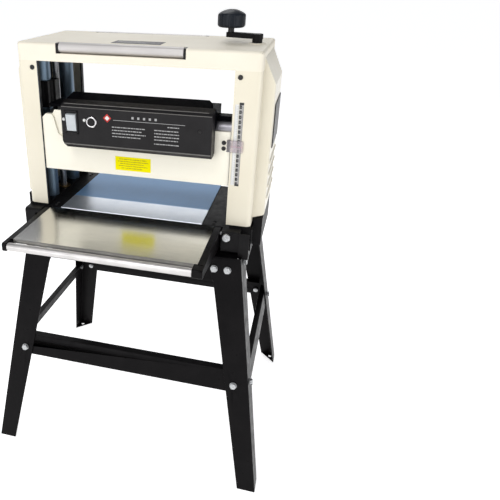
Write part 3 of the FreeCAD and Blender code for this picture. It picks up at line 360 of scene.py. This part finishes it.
CREAM = enamel("cream_enamel_paint", *CREAM_TONES, 0.34, 0.10, 0.35)
SHELL = lined_enamel("housing_enamel_paint", *CREAM_TONES, 0.34, 0.10, 0.35, INNER_DARK_AND_SHADE)
TOP_CREAM = enamel("top_enamel_paint", (0.86, 0.805, 0.68), (0.81, 0.755, 0.63), 0.50, 0.10, 0.0)
# A lighter copy of the housing cream for the front bar: painted light, making the bar brighter than the
# columns.
LIT_BAR_CREAM = enamel("bar_enamel_paint_lit", (0.97, 0.93, 0.80), (0.95, 0.905, 0.765), 0.32, 0.10, 0.35)
BLACK = pressed_black("black_enamel_paint")
CASTING = cast_paint("black_casting_paint", (0.005, 0.0045, 0.005), (0.011, 0.0105, 0.011),
                     620.0, 0.42, 0.1)
TABLE = brushed("table_ground_steel", (0.74, 0.73, 0.70), (0.60, 0.60, 0.585), 0, 0.15, bow=(0.43, 0.58))
# Bed: painted light along the infeed edge, painted blue shadow of the carriage behind it.
BED = oiled_bed("bed_ground_steel", (0.90, 0.93, 0.97), (0.25, 0.49, 0.84), -0.047)
CHROME = polished("hard_chrome", (0.76, 0.74, 0.75), 0.22)
ROLLER = polished("satin_roller", (0.66, 0.64, 0.63), 0.36)
TOP_ROLLER = brushed("ground_top_roller", (0.60, 0.575, 0.56), (0.52, 0.50, 0.49), 0, 0.46, 1600.0, 0.45)
# The guide posts are chrome; their dark blue tone is painted shade inside the housing and a painted blue
# reflection.
POST_STEEL = brushed("post_steel", (0.22, 0.30, 0.38), (0.14, 0.20, 0.27), 2, 0.34, 1200.0, 0.7)
ZINC = plated("zinc_plate", (0.60, 0.61, 0.62))
TOOL = brushed("turned_steel", (0.50, 0.51, 0.53), (0.36, 0.37, 0.39), 2, 0.30, 1500.0)
PLASTIC = moulded("black_moulding", (0.0085, 0.0075, 0.0085), (0.014, 0.013, 0.014), 1500.0, 0.34)
LID = moulded("lid_moulding", (0.0015, 0.0015, 0.002), (0.004, 0.004, 0.006), 1500.0, 0.34, 0.012)
KNOB = moulded("knob_moulding", (0.008, 0.010, 0.015), (0.014, 0.018, 0.025), 1100.0, 0.34, 0.18)
GREY = moulded("grey_moulding", (0.56, 0.59, 0.61), (0.46, 0.49, 0.51), 1500.0, 0.36, 0.5)
ALLOY = brushed("turned_alloy", (0.42, 0.41, 0.45), (0.32, 0.31, 0.34), 0, 0.36, 1400.0, 0.6)
BRONZE = brushed("bush_bronze_turned", (0.52, 0.36, 0.16), (0.40, 0.26, 0.11), 2, 0.34, 1200.0)
RUBBER = rubbery("black_rubber_skin", (0.016, 0.016, 0.016), (0.028, 0.027, 0.026), 900.0)
OXIDE = cast_paint("oxide_screw", (0.010, 0.010, 0.011), (0.024, 0.023, 0.022), 1500.0, 0.36, 0.4)
BROWN_INK = printed("brown_ink", (0.30, 0.20, 0.02), (0.24, 0.15, 0.02))
# Grey for painted highlights along the edges of the switch box.
EDGE_HIGHLIGHT_GREY = printed("painted_edge_highlight", (0.16, 0.155, 0.145), (0.11, 0.105, 0.10))
TAPE = printed("grey_tape", (0.46, 0.45, 0.44), (0.38, 0.37, 0.36))
WHITE_INK = printed("white_ink", (0.78, 0.78, 0.76), (0.70, 0.70, 0.69))
GREY_INK = printed("grey_ink", (0.42, 0.42, 0.42), (0.36, 0.36, 0.36))
YELLOW = printed("yellow_foil", (0.98, 0.90, 0.002), (0.95, 0.85, 0.002), 0.6, 0.04)
DARK_INK = printed("dark_ink", (0.030, 0.030, 0.032), (0.045, 0.045, 0.045))
ROSE = printed("rose_line", (0.62, 0.34, 0.42), (0.54, 0.28, 0.36))
RED = printed("red_cap", (0.55, 0.03, 0.02), (0.45, 0.02, 0.02), 0.3)


def clear_plastic(name):
    """Clear moulding with a faint rose tint, slightly scuffed."""
    s = Shade(name, Transmission_Weight=0.85, IOR=1.46)
    s.colour(s.mix(s.grey(s.noise(80.0, 4.0), 0.0, 1.0), (0.96, 0.90, 0.93), (0.90, 0.83, 0.88)))
    s.rough(s.grey(s.noise(160.0, 5.0, 0.7), 0.05, 0.22))
    s.bump(s.noise(300.0, 3.0), 0.05, 0.0002)
    return s.mat


CLEAR = clear_plastic("clear_moulding")

LOOK = {
    "stand_front_legs": BLACK, "stand_rear_legs": BLACK, "stand_stretchers": BLACK, "stand_top_rails": BLACK,
    "stand_bolts": ZINC, "machine_feet": RUBBER, "base_casting": CASTING, "bed_plate": BED,
    "guide_posts": POST_STEEL, "inner_frame": CASTING, "screw_bearings": BRONZE,
    "front_columns": SHELL, "rear_columns": SHELL, "top_cover": TOP_CREAM, "side_cover_left": SHELL,
    "side_cover_right": SHELL, "top_roller_brackets": PLASTIC, "top_roller_front": TOP_ROLLER,
    "top_roller_rear": TOP_ROLLER, "side_inserts": PLASTIC, "machine_screws": OXIDE,
    "lead_screw_left": TOOL, "lead_screw_right": TOOL, "sprocket_left": TOOL, "sprocket_right": TOOL,
    "sync_chain": TOOL, "crank_arm": CASTING, "crank_knob_bolt": OXIDE, "crank_knob": KNOB,
    "infeed_table": TABLE, "outfeed_table": TABLE, "infeed_side_plates": BLACK, "outfeed_side_plates": BLACK,
    "infeed_end_roller": ROLLER, "outfeed_end_roller": ROLLER, "table_hinge_bolts": ZINC,
    "carriage_cheek_left": CASTING, "carriage_cheek_right": CASTING, "carriage_top_plate": CASTING,
    "carriage_bushings": CASTING, "carriage_bearings": TOOL, "carriage_front_bar": LIT_BAR_CREAM,
    "carriage_screws": OXIDE, "scale_pointer": CLEAR, "control_fascia": PLASTIC, "motor_cover": LID,
    "power_gland": RUBBER, "rocker_switch": GREY, "reset_button": PLASTIC, "motor_body": ALLOY,
    "motor_rotor": TOOL, "drive_belt": RUBBER, "cutterhead": TOOL, "cutter_knives": CHROME,
    "infeed_roller": RUBBER, "outfeed_roller": RUBBER, "feed_gearbox": CASTING, "pawl_rod": TOOL,
    "anti_kickback_pawls": ZINC, "chip_deflector": CREAM,
}


def soften(obj, width):
    """Small rolled edges on a sharp-edged mesh."""
    weld = obj.modifiers.new("weld", "WELD")
    weld.merge_threshold = 0.00002
    bevel = obj.modifiers.new("bevel", "BEVEL")
    bevel.width = width
    bevel.segments = 2
    bevel.limit_method = "ANGLE"
    bevel.angle_limit = math.radians(40)
    bevel.use_clamp_overlap = True
    bevel.harden_normals = False


# Width of the rolled edges that are added to some nodes, in mm.
EDGE = {"base_casting": 1.2, "stand_front_legs": 0.7, "stand_rear_legs": 0.7, "stand_stretchers": 0.6,
        "stand_top_rails": 0.6, "carriage_cheek_left": 1.0, "carriage_cheek_right": 1.0,
        "infeed_side_plates": 0.5, "outfeed_side_plates": 0.5, "scale_pointer": 0.8}


def dress_nodes():
    for name, obj in NODES.items():
        obj.data.materials.clear()
        obj.data.materials.append(LOOK[name])
        if name in EDGE:
            soften(obj, EDGE[name] * MM)


# ---------------------------------------------------------------- mesh building
def add_mesh(name, bm, mat, body, smooth=False):
    mesh = bpy.data.meshes.new(name)
    bmesh.ops.recalc_face_normals(bm, faces=bm.faces)
    bm.to_mesh(mesh)
    bm.free()
    obj = bpy.data.objects.new(name, mesh)
    scene.collection.objects.link(obj)
    mesh.materials.append(mat)
    for face in mesh.polygons:
        face.use_smooth = smooth
    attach(obj, body)
    return obj


def brick(bm, lo, hi, round_by=0.0, segments=2):
    """Box between two corners, in mm, with rolled edges."""
    made = bmesh.ops.create_cube(bm, size=1.0)["verts"]
    for v in made:
        v.co = Vector([(lo[i] + hi[i]) / 2 + v.co[i] * (hi[i] - lo[i]) for i in range(3)]) * MM
    if round_by:
        edges = list({e for v in made for e in v.link_edges})
        bmesh.ops.bevel(bm, geom=edges, offset=round_by * MM, segments=segments, profile=0.5,
                        affect="EDGES", clamp_overlap=True)


def plate_prism(bm, points, out, thick):
    """Closed outline (3-D points in mm) pushed along the vector out by thick mm."""
    verts = [bm.verts.new(Vector(p) * MM) for p in points]
    face = bm.faces.new(verts)
    made = bmesh.ops.extrude_face_region(bm, geom=[face])["geom"]
    move = Vector(out) * thick * MM
    bmesh.ops.translate(bm, vec=move, verts=[g for g in made if isinstance(g, bmesh.types.BMVert)])


def ring_profile(bm, centre, axis, profile, steps=40):
    """Turned ring: profile is (radius, height along axis) in mm, closed."""
    axis = Vector(axis).normalized()
    side = axis.orthogonal().normalized()
    other = axis.cross(side)
    loops = []
    for k in range(steps):
        a = 2 * math.pi * k / steps
        spoke = side * math.cos(a) + other * math.sin(a)
        loops.append([bm.verts.new((Vector(centre) + spoke * r + axis * h) * MM) for r, h in profile])
    count = len(profile)
    for k in range(steps):
        one, two = loops[k], loops[(k + 1) % steps]
        for i in range(count):
            j = (i + 1) % count
            bm.faces.new((one[i], one[j], two[j], two[i]))


def turned(bm, centre, profile, steps=36):
    """Solid turned about a vertical axis: profile is (radius, z) from one end to the other."""
    loops = []
    for r, z in profile:
        loops.append([bm.verts.new(Vector((centre[0] + r * math.cos(2 * math.pi * k / steps),
                                           centre[1] + r * math.sin(2 * math.pi * k / steps), z)) * MM)
                      for k in range(steps)])
    for one, two in zip(loops, loops[1:]):
        for k in range(steps):
            j = (k + 1) % steps
            bm.faces.new((one[k], one[j], two[j], two[k]))
    bm.faces.new(loops[0][::-1])
    bm.faces.new(loops[-1])


def helix_ridge(bm, centre, root, crest, pitch, z0, z1, steps=20):
    """Thread: a trapezoid swept up a helix, closed at both ends."""
    sunk = root - 0.4
    shape = ((sunk, 0.06), (crest, 0.40), (crest, 0.60), (sunk, 0.94))
    count = int((z1 - z0) / pitch * steps)
    loops = []
    for k in range(count + 1):
        a = 2 * math.pi * k / steps
        z = z0 + pitch * k / steps
        loops.append([bm.verts.new(Vector((centre[0] + r * math.cos(a), centre[1] + r * math.sin(a),
                                           z + pitch * h)) * MM) for r, h in shape])
    for one, two in zip(loops, loops[1:]):
        for i in range(4):
            j = (i + 1) % 4
            bm.faces.new((one[i], one[j], two[j], two[i]))
    bm.faces.new(loops[0][::-1])
    bm.faces.new(loops[-1])


def make_lead_screws():
    """The two lead screws with a cut thread between plain ends."""
    low, high, pitch, depth = 618.0, 952.0, 4.0, 1
    for side in ("left", "right"):
        node = "lead_screw_" + side
        lo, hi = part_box(node)
        x, r = (lo.x + hi.x) / 2 / MM, (hi.x - lo.x) / 2 / MM
        z0, z1 = lo.z / MM, hi.z / MM
        root = r - depth
        bm = bmesh.new()
        turned(bm, (x, 0), [(root, z0), (r, z0 + 1), (r, low - 1), (root, low), (root, high),
                            (r, high + 1), (r, z1 - 1), (root, z1)])
        helix_ridge(bm, (x, 0), root, r - 0.02, pitch, low + 1, high - 5)
        obj = add_mesh("threaded_screw_" + side, bm, TOOL, "screw_" + side)
        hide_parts(node)


# ---------------------------------------------------------------- switch box
OUT = (0, -1, 0)


def dashes(bm, x0, x1, front, back, z, high, start):
    """A row of short plain dashes, standing for print that says nothing."""
    widths = (5.2, 2.6, 7.4, 3.8, 6.0, 2.2, 4.6)
    gap, shortest = 1.3, 1.5
    x, k = x0, start
    while x < x1 - shortest:
        end = min(x + widths[k % len(widths)], x1)
        brick(bm, (x, front, z - high / 2), (end, back, z + high / 2))
        x, k = end + gap, k + 1


def make_reset_ring(face):
    rim = [(8.0, 0), (8.0, 2.2), (9.0, 3.0), (11.0, 2.6), (12.5, 0.0)]
    bm = bmesh.new()
    ring_profile(bm, (-84.0, face, 821.5), OUT, rim)
    add_mesh("reset_ring", bm, CHROME, "carriage", True)


def make_rocker_bezel(face):
    """Four raised bars round the rocker switch."""
    left, right, low, high = -144, -114, 793, 843
    side, end, proud = 3.4, 3.8, 2.4
    bars = (((left, low), (left + side, high)), ((right - side, low), (right, high)),
            ((left, high - end), (right, high)), ((left, low), (right, low + end)))
    bm = bmesh.new()
    for (x0, z0), (x1, z1) in bars:
        brick(bm, (x0, face - proud, z0), (x1, face, z1), 0.8)
    add_mesh("rocker_bezel", bm, PLASTIC, "carriage")


def make_diamond(face):
    """A plain red diamond with a white middle."""
    x, z = -49, 832
    for reach, mat, name, proud in ((9.0, RED, "diamond_mark", 0.3),
                                    (5.2, WHITE_INK, "diamond_middle", 0.5)):
        corners = [(x, face, z - reach), (x + reach, face, z), (x, face, z + reach), (x - reach, face, z)]
        bm = bmesh.new()
        plate_prism(bm, corners, OUT, proud)
        add_mesh(name, bm, mat, "carriage")


def make_fascia_print(face):
    """Five squares, a rule under them and two blocks of plain dashes."""
    square_x, square_step, square_wide = 4, 12.2, 4.6
    row_z, row_step, row_high, ink = 814.5, 6.6, 1.9, 0.25
    bm = bmesh.new()
    for k in range(5):
        x = square_x + k * square_step
        brick(bm, (x, face - 0.3, 833.6), (x + square_wide, face, 838.4), 0.3, 1)
    brick(bm, (-36, face - 0.3, 828.6), (116, face, 829.4))
    for k in range(4):
        end = 34 - 9 * (k % 2)
        dashes(bm, -39, end, face - ink, face, row_z - row_step * k, row_high, k)
    for k, z in enumerate((822.5, 814.5, 807.9, 801.3, 794.7, 786.0)):
        start = 80 if k == 0 else 52
        dashes(bm, start, 104, face - ink, face, z, row_high, k + 3)
    add_mesh("fascia_print", bm, GREY_INK, "carriage")


def make_fascia_studs(face):
    dome = [(0.05, 3.4), (1.6, 3.2), (2.9, 2.6), (3.4, 1.2), (3.4, 0), (0.05, 0)]
    bm = bmesh.new()
    for x, z in ((-146.0, 823.5), (-99.5, 824.5)):
        ring_profile(bm, (x, face, z), OUT, dome, 24)
    add_mesh("fascia_studs", bm, WHITE_INK, "carriage", True)


def make_fascia_trim(face):
    """Grey strips along the foot, the shoulder and the set-back top of the switch box: painted highlights on
    those edges.
    """
    lo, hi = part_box("control_fascia")
    low, left, right = lo.z / MM, lo.x / MM, hi.x / MM
    bm = bmesh.new()
    brick(bm, (left + 5, face - 0.8, low + 7.6), (right - 1, face + 1.0, low + 10.2), 0.4)
    brick(bm, (left + 1, face - 0.5, 849.2), (right - 1, face + 1.0, 850.6), 0.3)
    brick(bm, (left + 5, face + 6.2, 854.6), (right - 9, face + 8.0, 856.2), 0.3)
    add_mesh("fascia_edge_highlights", bm, EDGE_HIGHLIGHT_GREY, "carriage")


def make_fascia_details():
    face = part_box("control_fascia")[0].y / MM
    make_reset_ring(face)
    make_rocker_bezel(face)
    make_diamond(face)
    make_fascia_print(face)
    make_fascia_studs(face)
    make_fascia_trim(face)


# ---------------------------------------------------------------- label, scale and top plate
def make_label():
    """Yellow label on the front bar, with rows of plain dashes."""
    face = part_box("carriage_front_bar")[0].y / MM
    bm = bmesh.new()
    brick(bm, (-45, face - 0.4, 711), (35.5, face, 742), 0.15, 1)
    add_mesh("plain_label", bm, YELLOW, "carriage")
    top_row, row_step, row_high = 736.5, 5.0, 1.2
    bm = bmesh.new()
    for k, inset in enumerate((2, 0, 4, 1, 7)):
        z = top_row - k * row_step
        dashes(bm, -38 + inset, 30 - 2 * inset, face - 0.55, face - 0.35, z, row_high, k)
    add_mesh("label_rows", bm, BROWN_INK, "carriage")


def digits(text, size, place, turn, mat, name, body):
    """A number as a thin raised mesh, its right edge at place."""
    curve = bpy.data.curves.new(name, "FONT")
    curve.body = text
    curve.size = size * MM
    curve.align_x, curve.align_y = "RIGHT", "CENTER"
    curve.extrude = 0.0001
    curve.resolution_u = 2
    flat = bpy.data.objects.new(name + "_flat", curve)
    scene.collection.objects.link(flat)
    bpy.context.view_layer.update()
    mesh = bpy.data.meshes.new_from_object(flat)
    bpy.data.objects.remove(flat)
    mesh.transform(Matrix.Translation(Vector(place) * MM) @ turn)
    mesh.materials.clear()
    mesh.materials.append(mat)
    obj = bpy.data.objects.new(name, mesh)
    scene.collection.objects.link(obj)
    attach(obj, body)


SCALE_ZERO = 707.0
SCALE_STEP = 10.0
SCALE_NUMBERS = 17


def make_scale_strip(face):
    """White strip on the right column, ruled every 5 mm."""
    z0, z1, rule = 704.0, 872.0, 0.4
    front, back = face - 0.5, face - 0.35
    bm = bmesh.new()
    brick(bm, (210.0, face - 0.4, z0), (217.4, face, z1), 0.2, 1)
    add_mesh("scale_strip", bm, WHITE_INK, "root")
    bm = bmesh.new()
    for x in (210.6, 216.2):
        brick(bm, (x, front, z0 + 2), (x + rule, back, z1 - 2))
    for k in range(33):
        z = z0 + 4 + 5.0 * k
        brick(bm, (213.6, front, z - rule / 2), (216.3, back, z + rule / 2))
    add_mesh("strip_lines", bm, GREY_INK, "root")


def make_scale_tape(face):
    """Grey tape beside the strip, with dark ends, a tick every 2 mm and a long one every 10."""
    left, right, z0, z1 = 218.1, 226.9, 702.2, 875.8
    tick_end, tick_half = 226.8, 0.22
    bm = bmesh.new()
    brick(bm, (left, face + 0.6, z0), (right, face + 1.4, z1))
    add_mesh("scale_tape", bm, TAPE, "root")
    bm = bmesh.new()
    for low, high in ((z0, 706.0), (871.0, z1)):
        brick(bm, (left, face + 0.3, low), (right, face + 0.7, high), 0.1, 1)
    for k in range(5 * (SCALE_NUMBERS - 1) + 1):
        z = SCALE_ZERO + 2.0 * k
        reach = 3.4 if k % 5 == 0 else 1.6
        brick(bm, (tick_end - reach, face + 0.45, z - tick_half), (tick_end, face + 0.65, z + tick_half))
    add_mesh("scale_ticks", bm, DARK_INK, "root")


def make_scale_numbers(face):
    """A dark block every 10 mm, with its number on it."""
    half_high = 3.4
    bm = bmesh.new()
    for k in range(SCALE_NUMBERS):
        z = SCALE_ZERO + SCALE_STEP * k
        brick(bm, (218.3, face + 0.42, z - half_high), (223.3, face + 0.65, z + half_high), 0.1, 1)
    add_mesh("scale_blocks", bm, DARK_INK, "root")
    facing = Matrix.Rotation(math.radians(90), 4, "X")
    for k in range(SCALE_NUMBERS):
        place = (222.5, face + 0.38, SCALE_ZERO + SCALE_STEP * k)
        digits(str(k), 3.4, place, facing, GREY_INK, "scale_number_%d" % k, "root")


def make_pointer_line():
    """Rose line along the clear pointer, ending just short of its tip."""
    lo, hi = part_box("scale_pointer")
    front, tip, middle_z = lo.y / MM, hi.x / MM, (lo.z + hi.z) / 2 / MM
    half = 0.35
    bm = bmesh.new()
    brick(bm, (206, front - 0.25, middle_z - half), (tip - 0.6, front + 0.1, middle_z + half))
    add_mesh("pointer_line", bm, ROSE, "carriage")


def make_scale():
    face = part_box("front_columns")[0].y / MM
    make_scale_strip(face)
    make_scale_tape(face)
    make_scale_numbers(face)
    make_pointer_line()


def make_top_plate():
    """Dark plate on the top cover, with three plain bars."""
    z, bar_half, bar_step = 973.0, 1.6, 11
    bm = bmesh.new()
    brick(bm, (-60, -87, z), (46, -42, z + 0.5), 0.2, 1)
    add_mesh("top_name_plate", bm, DARK_INK, "root")
    bm = bmesh.new()
    for k, end in enumerate((-6, 30, 12)):
        y = -53 - k * bar_step
        brick(bm, (-52, y - bar_half, z + 0.4), (end, y + bar_half, z + 0.7))
    add_mesh("top_plate_rows", bm, GREY_INK, "root")


def make_corner_skirts():
    """Thin black skirts that close the slit between the base lugs and the stand, right side."""
    left, right, low, below_deck, thick = 239, 261, 548, 13, 2
    lo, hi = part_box("base_casting")
    high = hi.z / MM - below_deck
    bm = bmesh.new()
    for y in (lo.y / MM - thick, hi.y / MM):
        brick(bm, (left, y, low), (right, y + thick, high), 0.3, 1)
    add_mesh("corner_skirts", bm, CASTING, "root")


make_camera()
make_studio()
dress_nodes()
make_lead_screws()
make_fascia_details()
make_label()
make_scale()
make_top_plate()
make_corner_skirts()
